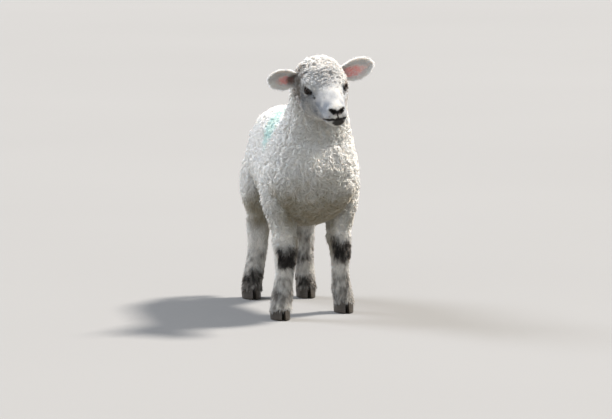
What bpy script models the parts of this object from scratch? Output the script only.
"""A young lamb standing with its head up, life size, as a still model.

Frame: metres, +Z up. The lamb faces -Y, its left side is +X, and the floor is Z = 0.
The tables give the outer shape, out to the tips of the coat, with the coat's depth beside
each size, so that the core under the fleece and the tips come from one table.
They are written about a point on the floor between the feet, and ORIGIN moves the whole
lamb so that the middle of its box stands on the frame's own origin.
"""

import math

import bmesh
import bpy
import numpy as np
from mathutils import Matrix, Vector
from mathutils.bvhtree import BVHTree
from mathutils.kdtree import KDTree

# Driving sizes
ORIGIN = Vector((0.0, 0.046, 0.0))
GAP = 0.0003
FLEECE_DEPTH = 0.020
NECK_WOOL = 0.018
CROWN_WOOL = 0.012
TAIL_WOOL = 0.009
FUR_DEPTH = 0.003
# The core under the clumps stops this far short of the tips, as a share of the coat's depth.
TIP_SHARE = 0.55
# Between these depths short fur, which is solid out to its tips, turns into clumped wool.
FUR_ENDS = 0.005
WOOL_BEGINS = 0.011

# Torso: y, height of the back, height of the belly, half width, coat depth
TORSO = (
    (0.213, 0.358, 0.302, 0.022, FLEECE_DEPTH),
    (0.205, 0.384, 0.274, 0.046, FLEECE_DEPTH),
    (0.180, 0.414, 0.245, 0.067, FLEECE_DEPTH),
    (0.135, 0.438, 0.222, 0.079, FLEECE_DEPTH),
    (0.080, 0.447, 0.208, 0.086, FLEECE_DEPTH),
    (0.020, 0.448, 0.196, 0.093, FLEECE_DEPTH),
    (-0.040, 0.448, 0.189, 0.099, FLEECE_DEPTH),
    (-0.095, 0.449, 0.188, 0.104, FLEECE_DEPTH),
    (-0.145, 0.445, 0.195, 0.107, FLEECE_DEPTH),
    (-0.190, 0.426, 0.214, 0.100, FLEECE_DEPTH),
    (-0.222, 0.392, 0.240, 0.077, FLEECE_DEPTH),
    (-0.238, 0.354, 0.272, 0.045, FLEECE_DEPTH),
    (-0.245, 0.330, 0.296, 0.020, FLEECE_DEPTH),
)
# Neck, from the chest up: y, z, x, half width, half depth fore and aft, coat depth
NECK = (
    (-0.118, 0.325, 0.002, 0.098, 0.098, NECK_WOOL),
    (-0.138, 0.375, 0.005, 0.096, 0.088, NECK_WOOL),
    (-0.156, 0.420, 0.007, 0.080, 0.073, NECK_WOOL),
    (-0.172, 0.460, 0.007, 0.069, 0.063, NECK_WOOL),
    (-0.188, 0.500, 0.005, 0.063, 0.056, NECK_WOOL),
    (-0.200, 0.528, 0.003, 0.046, 0.039, NECK_WOOL),
)
# Tail, from inside the rump down, in the same order
TAIL = (
    (0.178, 0.366, 0.0, 0.016, 0.015, TAIL_WOOL),
    (0.205, 0.362, 0.0, 0.019, 0.017, TAIL_WOOL),
    (0.226, 0.344, 0.0, 0.020, 0.017, TAIL_WOOL),
    (0.235, 0.314, 0.0, 0.020, 0.0175, TAIL_WOOL),
    (0.237, 0.278, 0.0, 0.020, 0.0175, TAIL_WOOL),
    (0.236, 0.240, 0.0, 0.019, 0.0165, TAIL_WOOL),
    (0.234, 0.208, 0.0, 0.015, 0.0135, TAIL_WOOL),
    (0.233, 0.196, 0.0, 0.008, 0.0075, TAIL_WOOL),
)
# Head, along its own axis from the nape: ahead, crown, jaw, half width, height of the widest
# place, coat depth
HEAD = (
    (-0.043, 0.034, -0.042, 0.036, 0.000, CROWN_WOOL),
    (-0.030, 0.051, -0.050, 0.049, 0.000, CROWN_WOOL),
    (-0.008, 0.067, -0.058, 0.056, 0.004, CROWN_WOOL),
    (0.018, 0.070, -0.061, 0.0575, 0.008, 0.011),
    (0.042, 0.065, -0.059, 0.053, 0.010, 0.009),
    (0.064, 0.052, -0.054, 0.0455, 0.010, 0.004),
    (0.085, 0.0385, -0.048, 0.0365, 0.002, FUR_DEPTH),
    (0.105, 0.030, -0.043, 0.0300, -0.006, 0.002),
    (0.122, 0.0235, -0.0395, 0.0268, -0.010, 0.002),
    (0.136, 0.0180, -0.0370, 0.0245, -0.012, 0.0015),
    (0.1455, 0.0110, -0.0320, 0.0200, -0.012, 0.001),
    (0.1500, 0.0040, -0.0235, 0.0130, -0.011, 0.001),
    (0.1518, -0.0030, -0.0170, 0.0055, -0.010, 0.001),
)
HEAD_PLACE = Vector((0.0006, -0.205, 0.5087))
HEAD_YAW = 2.4
HEAD_PITCH = 18.1
HEAD_ROLL = -7.0
HEAD_SQUARENESS = 2.1

# The features of the head are placed in its own axes: across, ahead, up.
EYE_RADIUS = 0.0115
EYE_CENTRE = (0.0358, 0.0640, 0.0210)
EYE_LOOKS = (0.86, 0.46, 0.20)
LID_THICKNESS = 0.0016
LID_OPENING = (0.0205, 0.0068, 0.0052)
NOSTRIL_CENTRE = (0.0088, 0.1475, 0.0035)
NOSTRIL_SIZE = (0.0056, 0.0050, 0.0027)
NOSTRIL_SLANT = 32.0
MOUTH_FRONT = -0.0135
MOUTH_CORNER = (0.108, -0.0300)
LIP_RADIUS = 0.0023
LIP_SUNK = 0.0013
MOUTH_ENDS_BEHIND_NOSE = 0.0016
MOUTH_DEEP = 0.0032
EAR_ROOT = (0.042, 0.010, 0.0228)
EAR_LENGTH = 0.0845
EAR_THICKNESS = 0.0034
EAR_PARTED = 0.019
EAR_RIGHT_POINTS = Vector((-0.909, -0.330, 0.08))
EAR_LEFT_POINTS = Vector((0.930, 0.080, 0.275))
EAR_OPENS = Vector((-0.24, -0.93, -0.22))
# Ear, along its length: share of the length, half width, depth of the cup
EAR = (
    (0.00, 0.0130, 0.0105),
    (0.18, 0.0175, 0.0130),
    (0.38, 0.0225, 0.0118),
    (0.58, 0.0236, 0.0090),
    (0.78, 0.0202, 0.0064),
    (0.92, 0.0135, 0.0036),
    (1.00, 0.0050, 0.0015),
)

# Legs, from the body down: z, x, y, half width, half depth, coat depth
FORELEG_RIGHT = (
    (0.360, -0.055, -0.120, 0.030, 0.040, FLEECE_DEPTH),
    (0.310, -0.066, -0.122, 0.040, 0.052, FLEECE_DEPTH),
    (0.255, -0.069, -0.128, 0.0400, 0.050, 0.018),
    (0.215, -0.065, -0.138, 0.0365, 0.042, 0.015),
    (0.175, -0.061, -0.150, 0.0275, 0.032, 0.008),
    (0.138, -0.063, -0.166, 0.0255, 0.027, FUR_DEPTH),
    (0.105, -0.0655, -0.170, 0.0205, 0.0215, FUR_DEPTH),
    (0.075, -0.069, -0.172, 0.0210, 0.0215, FUR_DEPTH),
    (0.052, -0.0725, -0.176, 0.0235, 0.0245, FUR_DEPTH),
    (0.036, -0.076, -0.182, 0.0235, 0.0240, FUR_DEPTH),
    (0.021, -0.079, -0.187, 0.0235, 0.0250, 0.002),
)
FORELEG_LEFT = (
    (0.360, 0.058, -0.118, 0.030, 0.040, FLEECE_DEPTH),
    (0.310, 0.070, -0.118, 0.041, 0.052, FLEECE_DEPTH),
    (0.255, 0.0745, -0.116, 0.0425, 0.050, 0.018),
    (0.215, 0.0725, -0.114, 0.0365, 0.042, 0.015),
    (0.175, 0.070, -0.113, 0.0275, 0.032, 0.008),
    (0.138, 0.0735, -0.116, 0.0235, 0.026, FUR_DEPTH),
    (0.105, 0.075, -0.110, 0.0195, 0.0210, FUR_DEPTH),
    (0.075, 0.0765, -0.107, 0.0200, 0.0210, FUR_DEPTH),
    (0.052, 0.079, -0.106, 0.0225, 0.0240, FUR_DEPTH),
    (0.036, 0.0815, -0.109, 0.0225, 0.0235, FUR_DEPTH),
    (0.021, 0.083, -0.112, 0.0230, 0.0245, 0.002),
)
HINDLEG_RIGHT = (
    (0.380, -0.040, 0.140, 0.028, 0.048, FLEECE_DEPTH),
    (0.330, -0.044, 0.140, 0.034, 0.064, FLEECE_DEPTH),
    (0.275, -0.051, 0.134, 0.0410, 0.066, 0.019),
    (0.232, -0.051, 0.142, 0.0390, 0.054, 0.016),
    (0.185, -0.043, 0.162, 0.0275, 0.037, 0.008),
    (0.150, -0.042, 0.176, 0.0250, 0.029, 0.004),
    (0.112, -0.044, 0.172, 0.0225, 0.0235, FUR_DEPTH),
    (0.078, -0.051, 0.165, 0.0220, 0.0225, FUR_DEPTH),
    (0.052, -0.057, 0.160, 0.0232, 0.0245, FUR_DEPTH),
    (0.036, -0.061, 0.156, 0.0228, 0.0235, FUR_DEPTH),
    (0.021, -0.0625, 0.152, 0.0228, 0.0245, 0.002),
)
HINDLEG_LEFT = (
    (0.380, 0.042, 0.138, 0.028, 0.048, FLEECE_DEPTH),
    (0.330, 0.047, 0.138, 0.034, 0.064, FLEECE_DEPTH),
    (0.275, 0.053, 0.132, 0.0385, 0.066, 0.019),
    (0.232, 0.056, 0.138, 0.0340, 0.054, 0.016),
    (0.185, 0.060, 0.155, 0.0275, 0.037, 0.008),
    (0.150, 0.062, 0.168, 0.0250, 0.029, 0.004),
    (0.112, 0.062, 0.163, 0.0215, 0.0235, FUR_DEPTH),
    (0.078, 0.0605, 0.155, 0.0210, 0.0225, FUR_DEPTH),
    (0.052, 0.0605, 0.150, 0.0225, 0.0245, FUR_DEPTH),
    (0.036, 0.061, 0.146, 0.0225, 0.0235, FUR_DEPTH),
    (0.021, 0.0615, 0.142, 0.0228, 0.0245, 0.002),
)
LEGS = {
    "foreleg_right": FORELEG_RIGHT,
    "foreleg_left": FORELEG_LEFT,
    "hindleg_right": HINDLEG_RIGHT,
    "hindleg_left": HINDLEG_LEFT,
}
# The coronet, where the leg meets the hoof, is higher at the toe than at the heel.
CORONET_SLOPE = 0.24
CORONET_BLENDS_ABOVE = 0.055
CLEFT = 0.0030
CLAW_WIDTH = 0.0195
CLAW_TOE = 0.0300
CLAW_HEEL = 0.0215
DEWCLAW_HEIGHT = 0.047
DEWCLAW_RADIUS = 0.0052

# Fleece clumps on each part: distance between neighbours, half width
CLUMPS = {
    "torso": (0.050, 0.0385),
    "neck": (0.044, 0.033),
    "leg": (0.036, 0.0245),
    "tail": (0.026, 0.0150),
    "head": (0.028, 0.0205),
}
CLUMP_LEAST_HEIGHT = 0.002
CLUMP_CLEAR_OF_EYE = 0.028
CLUMP_SUNK = 0.45
CLUMP_SIDES = 6
CLUMP_RINGS = 5
WOOL_SAMPLES = 9000
EVENING_ROUNDS = 6
SEED = 15
SHARP_ABOVE = math.radians(35)


def clear_scene():
    for obj in list(bpy.data.objects):
        bpy.data.objects.remove(obj)


def material(name, colour, roughness):
    made = bpy.data.materials.new(name)
    made.use_nodes = True
    shader = made.node_tree.nodes["Principled BSDF"]
    shader.inputs["Base Color"].default_value = (*colour, 1.0)
    shader.inputs["Roughness"].default_value = roughness
    return made


def mesh_object(name, points, faces):
    """A mesh through these points, its faces turned outwards."""
    mesh = bpy.data.meshes.new(name)
    mesh.from_pydata([tuple(p) for p in points], [], faces)
    form = bmesh.new()
    form.from_mesh(mesh)
    bmesh.ops.recalc_face_normals(form, faces=form.faces)
    form.to_mesh(mesh)
    form.free()
    obj = bpy.data.objects.new(name, mesh)
    bpy.context.scene.collection.objects.link(obj)
    return obj


def loft(name, rings):
    """One closed body through rings of equal point counts, with flat ends."""
    count = len(rings[0])
    last = (len(rings) - 1) * count
    faces = [tuple(range(count)), tuple(range(last, last + count))]
    for start in range(0, last, count):
        for k in range(count):
            n = (k + 1) % count
            faces.append((start + k, start + n, start + count + n, start + count + k))
    return mesh_object(name, np.vstack(rings), faces)


def spline(stations, count):
    """Rows read evenly from a smooth curve through the stations."""
    rows = np.array(stations, float)
    ends = np.vstack([2 * rows[0] - rows[1], rows, 2 * rows[-1] - rows[-2]])
    read = []
    for place in np.linspace(0, len(rows) - 1, count):
        i = min(int(place), len(rows) - 2)
        s = place - i
        a, b, c, d = ends[i : i + 4]
        bend = 2 * a - 5 * b + 4 * c - d
        twist = 3 * b - a - 3 * c + d
        read.append(b + 0.5 * ((c - a) * s + bend * s**2 + twist * s**3))
    return np.array(read)


def oval(points, side, up, down, squareness=2.0):
    """Across and upward places of an oval section, starting at its top."""
    angle = np.linspace(0, 2 * np.pi, points, endpoint=False)
    power = 2 / squareness
    across = side * np.sign(np.sin(angle)) * np.abs(np.sin(angle)) ** power
    reach = np.where(np.cos(angle) > 0, up, down)
    return across, reach * np.sign(np.cos(angle)) * np.abs(np.cos(angle)) ** power


def inset_of(depth):
    """How far the core lies under the tips: nothing in short fur, more in clumped wool."""
    woolly = min(max((depth - FUR_ENDS) / (WOOL_BEGINS - FUR_ENDS), 0.0), 1.0)
    return depth * TIP_SHARE * woolly * woolly * (3 - 2 * woolly)


def torso_rings(points, rings):
    """Upright sections from the rump to the front of the chest, with the coat's depth."""
    made = []
    middle_y = (TORSO[0][0] + TORSO[-1][0]) / 2
    half_length = (TORSO[0][0] - TORSO[-1][0]) / 2
    for y, top, bottom, half, depth in spline(TORSO, rings):
        inset = inset_of(depth)
        middle = (top + bottom) / 2
        reach = max(middle - bottom - inset, 0.3 * (middle - bottom))
        across, height = oval(points, max(half - inset, 0.3 * half), reach, reach, 2.2)
        place = middle_y + (y - middle_y) * (1 - inset / half_length)
        made.append((np.column_stack([across, np.full(points, place), middle + height]), depth))
    return made


def profile_rings(stations, points, rings):
    """Sections square to a path that bends in the lamb's middle plane."""
    rows = spline(stations, rings)
    headings = np.gradient(rows[:, :2], axis=0)
    made = []
    for (y, z, x, half, deep, depth), heading in zip(rows, headings):
        inset = inset_of(depth)
        across, along = oval(points, half - inset, deep - inset, deep - inset)
        ny, nz = np.array([heading[1], -heading[0]]) / np.linalg.norm(heading)
        made.append((np.column_stack([x + across, y + along * ny, z + along * nz]), depth))
    return made


def leg_rings(stations, points, rings):
    """Level sections down a leg, which tip to the coronet's slope near the hoof."""
    made = []
    for z, x, y, half, deep, depth in spline(stations, rings):
        inset = inset_of(depth)
        across, along = oval(points, half - inset, deep - inset, deep - inset)
        low = min(max((CORONET_BLENDS_ABOVE - z) / (CORONET_BLENDS_ABOVE - stations[-1][0]), 0), 1)
        height = z - CORONET_SLOPE * low * along
        made.append((np.column_stack([x + across, y + along, height]), depth))
    return made


def head_matrix():
    """From the head's own axes, across, -ahead and up, to the lamb's."""
    yaw = Matrix.Rotation(math.radians(HEAD_YAW), 4, "Z")
    pitch = Matrix.Rotation(math.radians(HEAD_PITCH), 4, "X")
    roll = Matrix.Rotation(math.radians(HEAD_ROLL), 4, "Y")
    return Matrix.Translation(HEAD_PLACE) @ yaw @ pitch @ roll


def in_head(across, ahead, up):
    return head_matrix() @ Vector((across, -ahead, up))


def head_direction(across, ahead, up):
    return (head_matrix().to_3x3() @ Vector((across, -ahead, up))).normalized()


def head_rings(points, rings):
    made = []
    for ahead, crown, jaw, half, wide, depth in spline(HEAD, rings):
        inset = inset_of(depth)
        up = crown - wide - inset
        down = wide - jaw - inset
        across, height = oval(points, half - inset, up, down, HEAD_SQUARENESS)
        ring = [in_head(a, ahead, wide + h) for a, h in zip(across, height)]
        made.append((np.array(ring), depth))
    return made


def head_side(ahead, up):
    """How far out the head's side is at this place along it and this height."""
    rows = spline(HEAD, 200)
    crown, jaw, half, wide = [np.interp(ahead, rows[:, 0], rows[:, i]) for i in (1, 2, 3, 4)]
    reach = crown - wide if up > wide else wide - jaw
    share = min(abs(up - wide) / reach, 1.0)
    return half * (1 - share**HEAD_SQUARENESS) ** (1 / HEAD_SQUARENESS)


def mouth_path(lift=0.0, corner_ahead=MOUTH_CORNER[0], steps=6):
    """(place, outward) along the line of the mouth, from the right corner round to the left."""
    front = HEAD[-1][0] - MOUTH_ENDS_BEHIND_NOSE
    right = []
    for turn in np.linspace(0, math.pi / 2, steps, endpoint=False):
        ahead = corner_ahead + (front - corner_ahead) * math.sin(turn)
        share = (front - ahead) / (front - MOUTH_CORNER[0])
        up = MOUTH_FRONT + (MOUTH_CORNER[1] - MOUTH_FRONT) * share + lift
        right.append((-head_side(ahead, up), ahead, up))
    left = [(-a, f, u) for a, f, u in reversed(right)]
    line = np.array(right + [(0.0, front + 0.0008, MOUTH_FRONT + lift)] + left)
    run = np.gradient(line[:, :2], axis=0)
    outward = np.column_stack([-run[:, 1], run[:, 0], np.zeros(len(run))])
    outward /= np.linalg.norm(outward, axis=1)[:, None]
    if outward[len(line) // 2, 1] < 0:
        outward = -outward
    return line, outward


def lip(name, lift, corner_ahead):
    """A soft roll along the mouth, half sunk in the muzzle."""
    line, outward = mouth_path(lift, corner_ahead)
    rings = []
    for place, out in zip(line, outward):
        ring = []
        for angle in np.linspace(0, 2 * np.pi, 6, endpoint=False):
            side = place + out * (math.cos(angle) * LIP_RADIUS - LIP_SUNK)
            ring.append(in_head(side[0], side[1], side[2] + math.sin(angle) * LIP_RADIUS))
        rings.append(np.array(ring))
    return loft(name, rings)


def mouth_cut():
    """A thin wedge, open outwards, that cuts the line between the lips."""
    line, outward = mouth_path()
    rings = []
    for place, out in zip(line, outward):
        outer = place + out * 0.006
        inner = place - out * MOUTH_DEEP
        corners = [(outer, 0.0013), (outer, -0.0013), (inner, 0.0)]
        rings.append(np.array([in_head(p[0], p[1], p[2] + lift) for p, lift in corners]))
    return loft("mouth_cut", rings)


def ball(name, centre, axes, segments, rings):
    """An ellipsoid whose three half axes are the columns given."""
    form = bmesh.new()
    bmesh.ops.create_uvsphere(form, u_segments=segments, v_segments=rings, radius=1.0)
    shape = Matrix([[axes[c][r] for c in range(3)] for r in range(3)]).to_4x4()
    bmesh.ops.transform(form, matrix=Matrix.Translation(centre) @ shape, verts=form.verts)
    bmesh.ops.recalc_face_normals(form, faces=form.faces)
    mesh = bpy.data.meshes.new(name)
    form.to_mesh(mesh)
    form.free()
    obj = bpy.data.objects.new(name, mesh)
    bpy.context.scene.collection.objects.link(obj)
    return obj


def eye_axes(side):
    """Outward, towards the nose and upward, for the eye on this side, -1 right and +1 left."""
    out = head_direction(side * EYE_LOOKS[0], EYE_LOOKS[1], EYE_LOOKS[2])
    nose = head_direction(0, 1, -0.22)
    nose = (nose - out * nose.dot(out)).normalized()
    up = out.cross(nose) if out.cross(nose).z > 0 else nose.cross(out)
    return out, nose, up


def eye_place(side):
    return in_head(side * EYE_CENTRE[0], EYE_CENTRE[1], EYE_CENTRE[2])


def eyeball(name, side, radius):
    out, nose, up = eye_axes(side)
    return ball(name, eye_place(side), [nose * radius, up * radius, out * radius], 12, 8)


def lid_cut(name, side):
    """The almond opening between the lids, cut outwards from the front of the eye."""
    out, nose, up = eye_axes(side)
    length, upper, lower = LID_OPENING
    rings = []
    for along in (EYE_RADIUS * 0.3, EYE_RADIUS * 2):
        ring = []
        for angle in np.linspace(0, 2 * np.pi, 14, endpoint=False):
            height = upper if math.sin(angle) > 0 else lower
            place = nose * math.cos(angle) * length / 2 + up * math.sin(angle) * height
            ring.append(eye_place(side) + out * along + place)
        rings.append(np.array(ring))
    return loft(name, rings)


def nostril_cut(name, side):
    slant = math.radians(NOSTRIL_SLANT)
    long_way = head_direction(side * math.cos(slant), 0, math.sin(slant)) * NOSTRIL_SIZE[0]
    deep = head_direction(0, 1, 0) * NOSTRIL_SIZE[1]
    high = head_direction(-side * math.sin(slant), 0, math.cos(slant)) * NOSTRIL_SIZE[2]
    place = in_head(side * NOSTRIL_CENTRE[0], NOSTRIL_CENTRE[1], NOSTRIL_CENTRE[2])
    return ball(name, place, [long_way, high, deep], 10, 6)


def ear_axes(side):
    """Along the ear, out of its cup and across it."""
    along = (EAR_LEFT_POINTS if side > 0 else EAR_RIGHT_POINTS).normalized()
    opening = (EAR_OPENS - along * EAR_OPENS.dot(along)).normalized()
    return along, opening, opening.cross(along)


def ear_rings(side, arc_points, rings):
    """Cupped sections, an outer and an inner curve in each, with no wool on them."""
    along, opening, wide = ear_axes(side)
    root = in_head(side * EAR_ROOT[0], EAR_ROOT[1], EAR_ROOT[2])
    made = []
    for share, half, cup in spline(EAR, rings):
        middle = root + along * share * EAR_LENGTH
        thick = EAR_THICKNESS * (1.35 - 0.75 * share)
        spread = np.linspace(-1, 1, arc_points)
        outer = [middle + wide * half * s - opening * cup * (1 - s * s) for s in spread]
        inner = [
            middle + wide * half * 0.84 * s + opening * (thick - cup * (1 - s * s)) for s in spread
        ]
        made.append((np.array(outer + inner[::-1]), 0.0))
    return made


def claw_outline(scale, toe, heel, width, points=12):
    """Half of a hoof's outline, straight along the cleft: (from the cleft outwards, ahead)."""
    places = []
    for share in np.linspace(0, 1, points - 3):
        ahead = -heel + (toe + heel) * share
        bulge = math.sin(math.pi * min(0.16 + 0.84 * share, 1.0) ** 0.85) ** 0.6
        places.append((width * max(bulge, 0.06) * scale, ahead))
    for share in (0.75, 0.5, 0.25):
        places.append((0.0, -heel + (toe + heel) * share))
    return places


def claw(name, foot, side, depth):
    """One of the two claws of a hoof, between its flat sole and the sloping coronet."""
    z, x, y = foot
    rings = []
    # Share of the height from the sole to the coronet, share of the width, toe and heel
    levels = (
        (0.0, 0.95, CLAW_TOE - 0.0010, CLAW_HEEL - 0.0010),
        (0.09, 1.0, CLAW_TOE, CLAW_HEEL),
        (0.55, 1.02, CLAW_TOE - 0.0030, CLAW_HEEL + 0.0005),
        (1.0, 1.0, depth - 0.0012, depth - 0.0012),
    )
    for share, scale, toe, heel in levels:
        ring = []
        for across, ahead in claw_outline(scale, toe, heel, CLAW_WIDTH):
            coronet = z + CORONET_SLOPE * ahead - GAP
            spread = CLEFT / 2 * (1 + 1.2 * max(ahead, 0) / CLAW_TOE)
            ring.append((x + side * (spread + across), y - ahead, coronet * share))
        rings.append(np.array(ring))
    return loft(name, rings)


def dewclaw(name, foot_stations, side, grow):
    """A small horn knob, sunk in the back of the fetlock."""
    rows = spline(foot_stations, 120)
    row = rows[np.argmin(abs(rows[:, 0] - DEWCLAW_HEIGHT))]
    place = Vector((row[1] + side * row[3] * 0.45, row[2] + row[4] * 0.90, row[0]))
    radius = DEWCLAW_RADIUS + grow
    back = Vector((side * 0.25, 0.85, -0.45)).normalized()
    across = Vector((1, 0, 0))
    across = (across - back * across.dot(back)).normalized()
    up = back.cross(across)
    return ball(name, place, [across * radius, up * radius * 0.85, back * (radius + 0.0012)], 7, 4)


def combine(target, others, operation):
    """One Boolean on a collection of closed bodies, applied, and the bodies then removed.

    The solver is MANIFOLD, because EXACT leaves open edges where so many bodies cross.
    """
    group = bpy.data.collections.new("joining")
    bpy.context.scene.collection.children.link(group)
    for obj in others:
        group.objects.link(obj)
        bpy.context.scene.collection.objects.unlink(obj)
    modifier = target.modifiers.new("combine", "BOOLEAN")
    modifier.operation = operation
    modifier.operand_type = "COLLECTION"
    modifier.collection = group
    modifier.solver = "MANIFOLD"
    apply_modifiers(target)
    for obj in others:
        bpy.data.objects.remove(obj)
    bpy.data.collections.remove(group)
    return target


def apply_modifiers(obj):
    graph = bpy.context.evaluated_depsgraph_get()
    mesh = bpy.data.meshes.new_from_object(obj.evaluated_get(graph))
    obj.modifiers.clear()
    obj.data = mesh


def copy_of(obj, name):
    made = obj.copy()
    made.data = obj.data.copy()
    made.name = name
    bpy.context.scene.collection.objects.link(made)
    return made


def region(planes, grow):
    """A convex body bounded by planes, each a point and an outward direction."""
    form = bmesh.new()
    bmesh.ops.create_cube(form, size=2.0)
    for point, normal in planes:
        outward = Vector(normal).normalized()
        everything = form.verts[:] + form.edges[:] + form.faces[:]
        place = Vector(point) + outward * grow
        bmesh.ops.bisect_plane(form, geom=everything, plane_co=place, plane_no=outward, clear_outer=True)
        rim = [edge for edge in form.edges if edge.is_boundary]
        bmesh.ops.holes_fill(form, edges=rim)
    bmesh.ops.recalc_face_normals(form, faces=form.faces)
    mesh = bpy.data.meshes.new("region")
    form.to_mesh(mesh)
    form.free()
    obj = bpy.data.objects.new("region", mesh)
    bpy.context.scene.collection.objects.link(obj)
    return obj


def keep_largest(obj):
    """Leaves only the largest closed surface of a mesh."""
    form = bmesh.new()
    form.from_mesh(obj.data)
    form.verts.ensure_lookup_table()
    seen = set()
    shells = []
    for start in form.verts:
        if start in seen:
            continue
        shell = []
        waiting = [start]
        seen.add(start)
        while waiting:
            vert = waiting.pop()
            shell.append(vert)
            for edge in vert.link_edges:
                other = edge.other_vert(vert)
                if other not in seen:
                    seen.add(other)
                    waiting.append(other)
        shells.append(shell)
    shells.sort(key=len)
    for shell in shells[:-1]:
        bmesh.ops.delete(form, geom=shell, context="VERTS")
    form.to_mesh(obj.data)
    form.free()


def in_triangles(obj):
    """Splits the faces into triangles and takes out pairs folded flat on each other."""
    form = bmesh.new()
    form.from_mesh(obj.data)
    bmesh.ops.triangulate(form, faces=form.faces)
    by_corners = {}
    for face in form.faces:
        by_corners.setdefault(frozenset(face.verts), []).append(face)
    folded = [face for same in by_corners.values() if len(same) > 1 for face in same]
    bmesh.ops.delete(form, geom=folded, context="FACES")
    form.to_mesh(obj.data)
    form.free()


def part_off(whole, name, planes):
    """Takes the piece inside the planes off the whole, with a thin gap between the two."""
    piece = copy_of(whole, name)
    combine(piece, [region(planes, -GAP / 2)], "INTERSECT")
    combine(whole, [region(planes, GAP / 2)], "DIFFERENCE")
    keep_largest(piece)
    return piece


def clump(place, normal, height, half_width, ground, chance):
    """A rounded clump of wool, its lower half sunk in the core, bent down to follow the core."""
    out = normal.normalized()
    turned = Matrix.Rotation(chance.uniform(0, 2 * math.pi), 3, out)
    side = turned @ out.orthogonal().normalized()
    wide = half_width * chance.uniform(0.95, 1.10)
    narrow = wide * chance.uniform(0.90, 1.0)
    centre = place - out * height * CLUMP_SUNK
    axes = [side * wide, out.cross(side) * narrow, out * height * (1 + CLUMP_SUNK)]
    made = ball("clump", centre, axes, CLUMP_SIDES, CLUMP_RINGS)
    for vert in made.data.vertices:
        beside = vert.co - out * out.dot(vert.co - place)
        hit, facing, index, fall = ground.ray_cast(beside + out * half_width, -out, half_width * 1.7)
        drop = half_width * 0.7 if hit is None else fall - half_width
        vert.co -= out * max(drop, -half_width * 0.12)
    return made


def random_surface_points(mesh, count, chance):
    """Points spread evenly over a mesh, with the normal at each."""
    mesh.calc_loop_triangles()
    corners = np.array([[mesh.vertices[v].co for v in tri.vertices] for tri in mesh.loop_triangles])
    cross = np.cross(corners[:, 1] - corners[:, 0], corners[:, 2] - corners[:, 0])
    area = np.linalg.norm(cross, axis=1)
    picked = chance.choice(len(corners), count, p=area / area.sum())
    first, second = np.sqrt(chance.random(count)), chance.random(count)
    shares = np.column_stack([1 - first, first * (1 - second), first * second])
    points = (corners[picked] * shares[:, :, None]).sum(axis=1)
    return points, cross[picked] / area[picked, None]


def woolly_places(core, surfaces, chance):
    """Points all over the wool, their normals, the clump's height at each and the part they are on.

    The coat's depth at a point is that of the nearest section of the lofts it was made from.
    """
    rows = [(kind, point, depth) for kind, rings in surfaces for ring, depth in rings for point in ring]
    tree = KDTree(len(rows))
    for index, (kind, point, depth) in enumerate(rows):
        tree.insert(point, index)
    tree.balance()
    eyes = [eye_place(side) for side in (-1, 1)]
    places = []
    for point, normal in zip(*random_surface_points(core.data, WOOL_SAMPLES, chance)):
        kind, near, depth = rows[tree.find(point)[1]]
        clear = min((Vector(point) - eye).length for eye in eyes)
        if inset_of(depth) > CLUMP_LEAST_HEIGHT and clear > CLUMP_CLEAR_OF_EYE:
            places.append((point, normal, inset_of(depth), kind))
    return places


def even_places(spots, spacing):
    """Indices of spots set evenly: each next one as far as can be from the rest, then evened out."""
    chosen = [0]
    nearest = np.linalg.norm(spots - spots[0], axis=1) / spacing
    while nearest.max() > 1:
        chosen.append(int(np.argmax(nearest)))
        nearest = np.minimum(nearest, np.linalg.norm(spots - spots[chosen[-1]], axis=1) / spacing)
    for turn in range(EVENING_ROUNDS):
        away = np.linalg.norm(spots[:, None] - spots[chosen][None], axis=2)
        owner = np.argmin(away / spacing[chosen], axis=1)
        for index in range(len(chosen)):
            own = np.flatnonzero(owner == index)
            middle = spots[own].mean(axis=0)
            chosen[index] = int(own[np.argmin(np.linalg.norm(spots[own] - middle, axis=1))])
    return chosen


def fleece(core, surfaces, chance):
    """Clumps set close and evenly over all the wool."""
    places = woolly_places(core, surfaces, chance)
    spots = np.array([point for point, normal, height, kind in places])
    spacing = np.array([CLUMPS[kind][0] for point, normal, height, kind in places])
    ground = BVHTree.FromObject(core, bpy.context.evaluated_depsgraph_get())
    clumps = []
    for chosen in even_places(spots, spacing):
        point, normal, height, kind = places[chosen]
        tall = height * chance.uniform(1.05, 1.25)
        half_width = CLUMPS[kind][1]
        clumps.append(clump(Vector(point), Vector(normal), tall, half_width, ground, chance))
    return clumps


def leg_region(side, front, back, armpit, shoulder):
    """Planes round a leg: off the middle, under a slope, behind the front and before the back."""
    rise = shoulder[1] - armpit[1]
    run = shoulder[0] - armpit[0]
    return (
        ((side * 0.008, 0, 0), (-side, 0, 0)),
        ((side * armpit[0], 0, armpit[1]), (-side * rise, 0, run)),
        ((0, front[0], front[1]), (0, -1, front[2])),
        ((0, back[0], back[1]), (0, 1, -back[2])),
    )


def ear_region(side):
    """Planes round an ear: beyond the skull, and between its front and its back."""
    along, opening, wide = ear_axes(side)
    root = in_head(side * EAR_ROOT[0], EAR_ROOT[1], EAR_ROOT[2])
    return (
        (root + along * EAR_PARTED, -along),
        (root + opening * 0.035, opening),
        (root - opening * 0.035, -opening),
    )


# Planes, each a point and the direction out of the piece, that part the body into its nodes
HEAD_REGION = (((0, -0.1985, 0.4975), (0, 0.843, -0.538)),)
NECK_REGION = (((0, -0.170, 0.4035), (0, 0.528, -0.849)),)
TAIL_REGION = (((0, 0.2165, 0), (0, -1, 0)),)
# A leg is parted in two where its wool ends.
WOOL_ENDS = {"foreleg": 0.166, "hindleg": 0.178}
# The front and back planes of a leg: y, at this height, and the lean of the plane
FORELEG_PLANES = ((-0.180, 0.310, 0.135), (-0.060, 0.310, 0.05))
HINDLEG_PLANES = ((0.062, 0.310, -0.12), (0.300, 0.310, 0.0))
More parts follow.
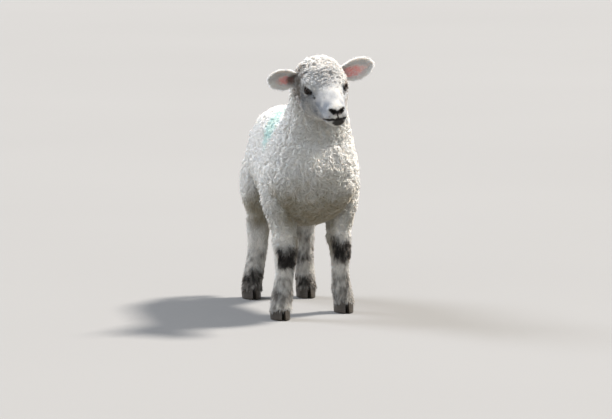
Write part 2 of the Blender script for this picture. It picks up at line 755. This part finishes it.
# The slope over the inside of a leg: x and z at the armpit and at the shoulder or hip
FORELEG_SLOPE = ((0.030, 0.200), (0.130, 0.315))
HINDLEG_SLOPE = ((0.022, 0.215), (0.120, 0.350))
LEG_REGIONS = {}
for leg_side, leg_name in ((-1, "right"), (1, "left")):
    LEG_REGIONS["foreleg_" + leg_name] = leg_region(leg_side, *FORELEG_PLANES, *FORELEG_SLOPE)
    LEG_REGIONS["hindleg_" + leg_name] = leg_region(leg_side, *HINDLEG_PLANES, *HINDLEG_SLOPE)


def body(chance):
    """The whole animal but for its eyes and hooves, with its fleece, as one closed body."""
    core = loft("torso", [ring for ring, depth in torso_rings(20, 15)])
    pieces = [
        loft("neck_core", [ring for ring, depth in profile_rings(NECK, 16, 8)]),
        loft("tail_core", [ring for ring, depth in profile_rings(TAIL, 8, 10)]),
        loft("head_core", [ring for ring, depth in head_rings(22, 21)]),
        lip("upper_lip", LIP_RADIUS, MOUTH_CORNER[0]),
        lip("lower_lip", -LIP_RADIUS, MOUTH_CORNER[0] + 0.010),
    ]
    for side in (-1, 1):
        pieces.append(loft("ear_core", [ring for ring, depth in ear_rings(side, 7, 10)]))
        pieces.append(eyeball("lids", side, EYE_RADIUS + LID_THICKNESS))
    for name, stations in LEGS.items():
        pieces.append(loft(name + "_core", [ring for ring, depth in leg_rings(stations, 12, 15)]))
    combine(core, pieces, "UNION")
    surfaces = [
        ("torso", torso_rings(60, 60)),
        ("neck", profile_rings(NECK, 48, 26)),
        ("tail", profile_rings(TAIL, 20, 28)),
        ("head", head_rings(60, 60)),
        ("ear", ear_rings(-1, 14, 24)),
        ("ear", ear_rings(1, 14, 24)),
    ]
    surfaces += [("leg", leg_rings(stations, 34, 60)) for stations in LEGS.values()]
    combine(core, fleece(core, surfaces, chance), "UNION")
    return core


def face_cuts():
    """Everything cut into the head: sockets, the openings between the lids, nostrils, mouth."""
    cuts = [mouth_cut()]
    for side in (-1, 1):
        cuts.append(eyeball("socket", side, EYE_RADIUS + GAP))
        cuts.append(lid_cut("lid_cut", side))
        cuts.append(nostril_cut("nostril_cut", side))
    return cuts


def build():
    clear_scene()
    wool = material("wool", (0.86, 0.83, 0.77), 0.92)
    face = material("face_fur", (0.80, 0.77, 0.73), 0.85)
    ear_skin = material("ear_skin", (0.84, 0.66, 0.60), 0.70)
    leg_fur = material("leg_fur", (0.56, 0.52, 0.48), 0.85)
    horn = material("hoof_horn", (0.16, 0.13, 0.11), 0.45)
    eye_gloss = material("eye_gloss", (0.05, 0.035, 0.03), 0.08)

    whole = body(np.random.default_rng(SEED))
    nodes = {"head": (part_off(whole, "head", HEAD_REGION), face)}
    for name, side in (("ear_right", -1), ("ear_left", 1)):
        nodes[name] = (part_off(nodes["head"][0], name, ear_region(side)), ear_skin)
    nodes["neck"] = (part_off(whole, "neck", NECK_REGION), wool)
    nodes["tail"] = (part_off(whole, "tail", TAIL_REGION), wool)
    for name, planes in LEG_REGIONS.items():
        leg = part_off(whole, "upper_" + name, planes)
        below = (((0, 0, WOOL_ENDS[name.split("_")[0]]), (0, 0, 1)),)
        nodes["lower_" + name] = (part_off(leg, "lower_" + name, below), leg_fur)
        nodes["upper_" + name] = (leg, wool)
    nodes["torso"] = (whole, wool)

    combine(nodes["head"][0], face_cuts(), "DIFFERENCE")
    nodes["eye_right"] = (eyeball("eye_right", -1, EYE_RADIUS), eye_gloss)
    nodes["eye_left"] = (eyeball("eye_left", 1, EYE_RADIUS), eye_gloss)
    for name, stations in LEGS.items():
        sockets = []
        for place, side in (("right", -1), ("left", 1)):
            foot = stations[-1]
            hoof = "hoof_" + name + "_" + place
            nodes[hoof] = (claw(hoof, foot[:3], side, foot[4]), horn)
            knob = "dewclaw_" + name + "_" + place
            nodes[knob] = (dewclaw(knob, stations, side, 0.0), horn)
            sockets.append(dewclaw("socket", stations, side, GAP))
        combine(nodes["lower_" + name][0], sockets, "DIFFERENCE")

    for name, (obj, look) in nodes.items():
        keep_largest(obj)
        in_triangles(obj)
        obj.name = name
        obj.data.name = name
        obj.data.transform(Matrix.Translation(ORIGIN))
        obj.data.materials.clear()
        obj.data.materials.append(look)
        obj.data.shade_smooth()
        obj.data.set_sharp_from_angle(angle=SHARP_ABOVE)


build()
